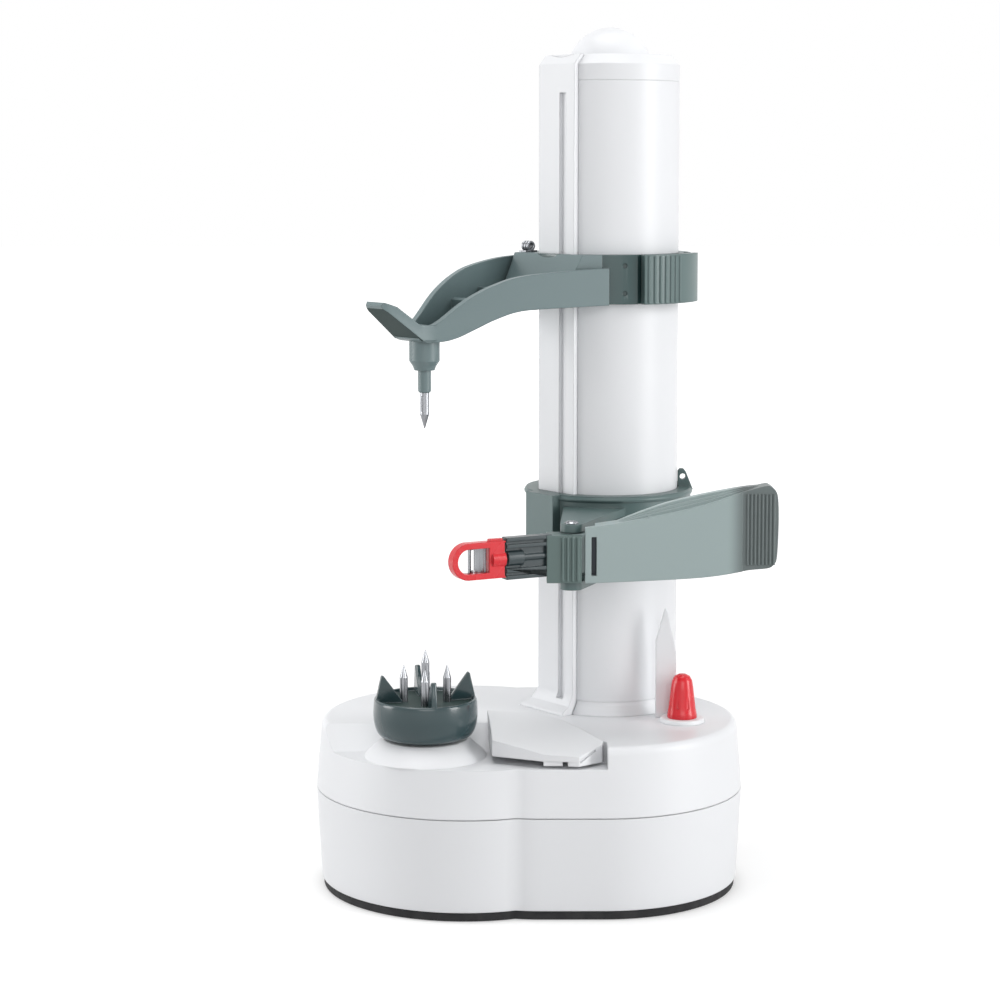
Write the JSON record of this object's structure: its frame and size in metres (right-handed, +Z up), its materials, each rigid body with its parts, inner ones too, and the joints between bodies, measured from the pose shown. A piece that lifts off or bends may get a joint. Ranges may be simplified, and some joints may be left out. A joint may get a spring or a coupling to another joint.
{
  "type": "electric potato peeler",
  "caption": "Battery peeler: geared base, column with lead screw, sliding spring-loaded blade carriage with squeeze lever, spiked food cup and sliding upper arm.",
  "frame": {"origin": "centre of the base's footprint, on the surface that it stands on", "axes": "+Z up along the column, +X to the user's right along the base's long side, +Y away from the user"},
  "size_m": [0.1484, 0.1115, 0.2851],
  "materials": {
    "white_abs": "gloss moulded ABS",
    "grey_abs": "satin slate grey-green ABS",
    "dark_abs": "satin dark grey-green ABS",
    "black_rubber": "matt non-slip rubber",
    "black_plastic": "satin black plastic",
    "red_plastic": "gloss red plastic",
    "steel": "stainless steel",
    "brass": "sintered brass",
    "nylon": "natural nylon",
    "cell": "battery sleeve"
  },
  "bodies": {
    "stand": {"foot_pad": "black_rubber", "bottom_plate": "white_abs", "base_lower_shell": "white_abs", "base_upper_shell": "white_abs", "battery_cells": "cell", "battery_contacts": "steel", "dc_jack": "black_plastic", "motor": "steel", "gear_plate": "dark_abs", "gear_axles": "steel", "start_switch": "black_plastic", "start_spring": "steel", "housing_screws": "steel", "spindle_bush": "brass", "column_rail": "white_abs", "column_cover": "white_abs", "column_cap": "white_abs", "screw_bearings": "brass", "knife_stand": "white_abs"},
    "door": {"battery_door": "black_plastic"},
    "motor_drive": {"motor_pinion": "brass"},
    "compound_drive": {"compound_gear": "nylon"},
    "idler_drive": {"idler_gear": "nylon"},
    "food_drive": {"food_gear": "nylon", "food_spindle": "steel", "food_cup": "grey_abs", "food_spikes": "steel"},
    "screw_drive": {"lead_screw": "steel", "screw_gear": "nylon"},
    "start_key_body": {"start_key": "white_abs"},
    "knife": {"knife_handle": "red_plastic", "knife_blade": "steel"},
    "carriage": {"carriage_collar": "dark_abs", "half_nut": "nylon", "pivot_pin": "steel", "lever_spring": "steel"},
    "lever": {"peel_lever": "grey_abs", "blade_arm": "dark_abs"},
    "blade": {"blade_holder": "red_plastic", "peel_blade": "steel"},
    "arm": {"top_arm": "grey_abs", "arm_clip": "steel", "button_spring": "steel"},
    "release": {"arm_release_button": "dark_abs"},
    "top_spindle": {"top_spike": "grey_abs", "spike_point": "steel"}
  },
  "joints": [
    {"name": "food_spin", "type": "hinge", "parent": "stand", "child": "food_drive", "pos_m": [-0.0325, -0.026, 0.06], "axis": [0, 0, 1], "continuous": true},
    {"name": "idler_spin", "type": "hinge", "parent": "stand", "child": "idler_drive", "pos_m": [-0.00264, -0.0025, 0.04], "axis": [0, 0, 1], "continuous": true},
    {"name": "screw_spin", "type": "hinge", "parent": "stand", "child": "screw_drive", "pos_m": [0.0288, 0.02224, 0.04], "axis": [0, 0, 1], "continuous": true},
    {"name": "compound_spin", "type": "hinge", "parent": "stand", "child": "compound_drive", "pos_m": [-0.02775, 0.012, 0.04], "axis": [0, 0, 1], "continuous": true},
    {"name": "motor_spin", "type": "hinge", "parent": "stand", "child": "motor_drive", "pos_m": [-0.03975, -0.00878, 0.031], "axis": [0, 0, 1], "continuous": true},
    {"name": "carriage_slide", "type": "slide", "parent": "stand", "child": "carriage", "axis": [0, 0, 1], "range_m": [-0.028, 0.045]},
    {"name": "lever_swing", "type": "hinge", "parent": "carriage", "child": "lever", "pos_m": [0.0142, -0.0394, 0.117], "axis": [0, 0, 1], "range_deg": [-30, 15], "stiffness_Nm_per_rad": 0.05},
    {"name": "blade_tilt", "type": "hinge", "parent": "lever", "child": "blade", "pos_m": [0.008, -0.043, 0.1174], "axis": [-0.891, -0.454, 0], "range_deg": [-8, 8], "stiffness_Nm_per_rad": 0.002},
    {"name": "arm_slide", "type": "slide", "parent": "stand", "child": "arm", "axis": [0, 0, 1], "range_m": [-0.015, 0.05]},
    {"name": "release_press", "type": "slide", "parent": "arm", "child": "release", "axis": [-0.766, 0.6428, 0], "range_m": [0, 0.0015], "stiffness_N_per_m": 400, "deforming": ["button_spring"]},
    {"name": "top_spike_spin", "type": "hinge", "parent": "arm", "child": "top_spindle", "pos_m": [-0.0325, -0.026, 0.175], "axis": [0, 0, 1], "continuous": true},
    {"name": "start_press", "type": "slide", "parent": "stand", "child": "start_key_body", "axis": [0, 0, -1], "range_m": [0, 0.0008], "stiffness_N_per_m": 400, "deforming": ["start_spring"]},
    {"name": "knife_lift", "type": "slide", "parent": "stand", "child": "knife", "axis": [0, 0, 1], "range_m": [0, 0.03]},
    {"name": "door_slide", "type": "slide", "parent": "stand", "child": "door", "axis": [0, 1, 0], "range_m": [0, 0.008]}
  ],
  "couplings": [
    {"joint": "idler_spin", "follows": "food_spin", "ratio": -0.65217},
    {"joint": "screw_spin", "follows": "food_spin", "ratio": 0.88235},
    {"joint": "compound_spin", "follows": "food_spin", "ratio": 2.5},
    {"joint": "motor_spin", "follows": "food_spin", "ratio": -12.5}
  ]
}
